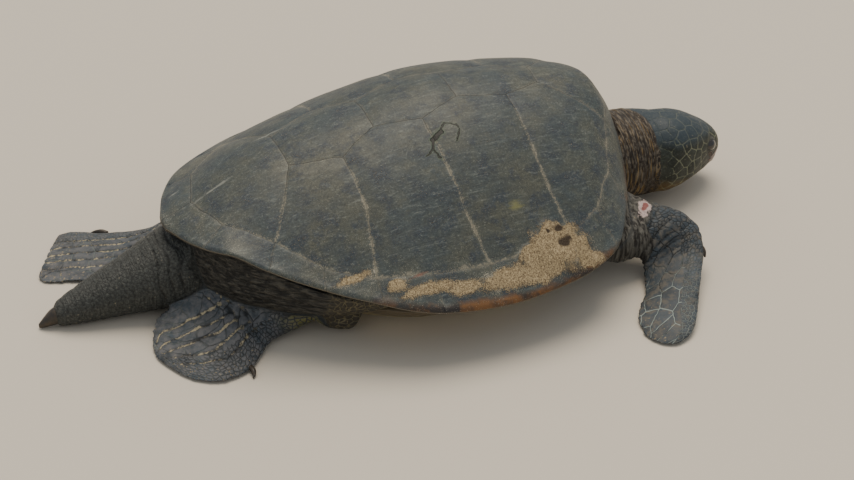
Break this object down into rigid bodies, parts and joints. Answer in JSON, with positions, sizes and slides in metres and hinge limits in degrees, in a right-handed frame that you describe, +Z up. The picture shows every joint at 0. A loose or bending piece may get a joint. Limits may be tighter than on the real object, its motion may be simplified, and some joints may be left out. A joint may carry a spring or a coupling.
{
  "type": "sea turtle",
  "caption": "Life-size still model of an adult green sea turtle resting on its belly, with plated shell, paddle flippers and long tail.",
  "frame": {"origin": "on the floor under the middle of the shell's straight length, on the flat of the belly plate", "axes": "+X forward along the turtle's length to its head, +Y to the turtle's own left, +Z up"},
  "size_m": [1.386, 0.948, 0.3506],
  "materials": {
    "plate_horn": "worn grey-green horn with a dull satin sheen",
    "rim_horn": "worn brown horn with dark patches",
    "plastron_horn": "smooth pale yellow horn",
    "dark_skin": "scaly blue-grey skin",
    "neck_skin": "loose wrinkled brown skin",
    "beak_horn": "smooth greyish horn",
    "claw_horn": "smooth dark horn",
    "wet_eye": "wet and glossy"
  },
  "bodies": {
    "root": {"nuchal": "plate_horn", "vertebral_1": "plate_horn", "vertebral_2": "plate_horn", "vertebral_3": "plate_horn", "vertebral_4": "plate_horn", "vertebral_5": "plate_horn", "costal_left_1": "plate_horn", "costal_left_2": "plate_horn", "costal_left_3": "plate_horn", "costal_left_4": "plate_horn", "costal_right_1": "plate_horn", "costal_right_2": "plate_horn", "costal_right_3": "plate_horn", "costal_right_4": "plate_horn", "marginals_front_left": "rim_horn", "marginals_bridge_left": "rim_horn", "marginals_rear_left": "rim_horn", "supracaudal_left": "rim_horn", "marginals_front_right": "rim_horn", "marginals_bridge_right": "rim_horn", "marginals_rear_right": "rim_horn", "supracaudal_right": "rim_horn", "plastron": "plastron_horn", "trunk": "dark_skin", "head": "dark_skin", "tail": "dark_skin", "upper_arm_left": "dark_skin", "front_flipper_left": "dark_skin", "thigh_left": "dark_skin", "hind_flipper_left": "dark_skin", "upper_arm_right": "dark_skin", "front_flipper_right": "dark_skin", "thigh_right": "dark_skin", "hind_flipper_right": "dark_skin", "neck": "neck_skin", "upper_beak": "beak_horn", "lower_beak": "beak_horn", "tail_nail": "claw_horn", "front_claw_left": "claw_horn", "hind_claw_left": "claw_horn", "front_claw_right": "claw_horn", "hind_claw_right": "claw_horn", "eye_left": "wet_eye", "eye_right": "wet_eye"}
  },
  "joints": []
}
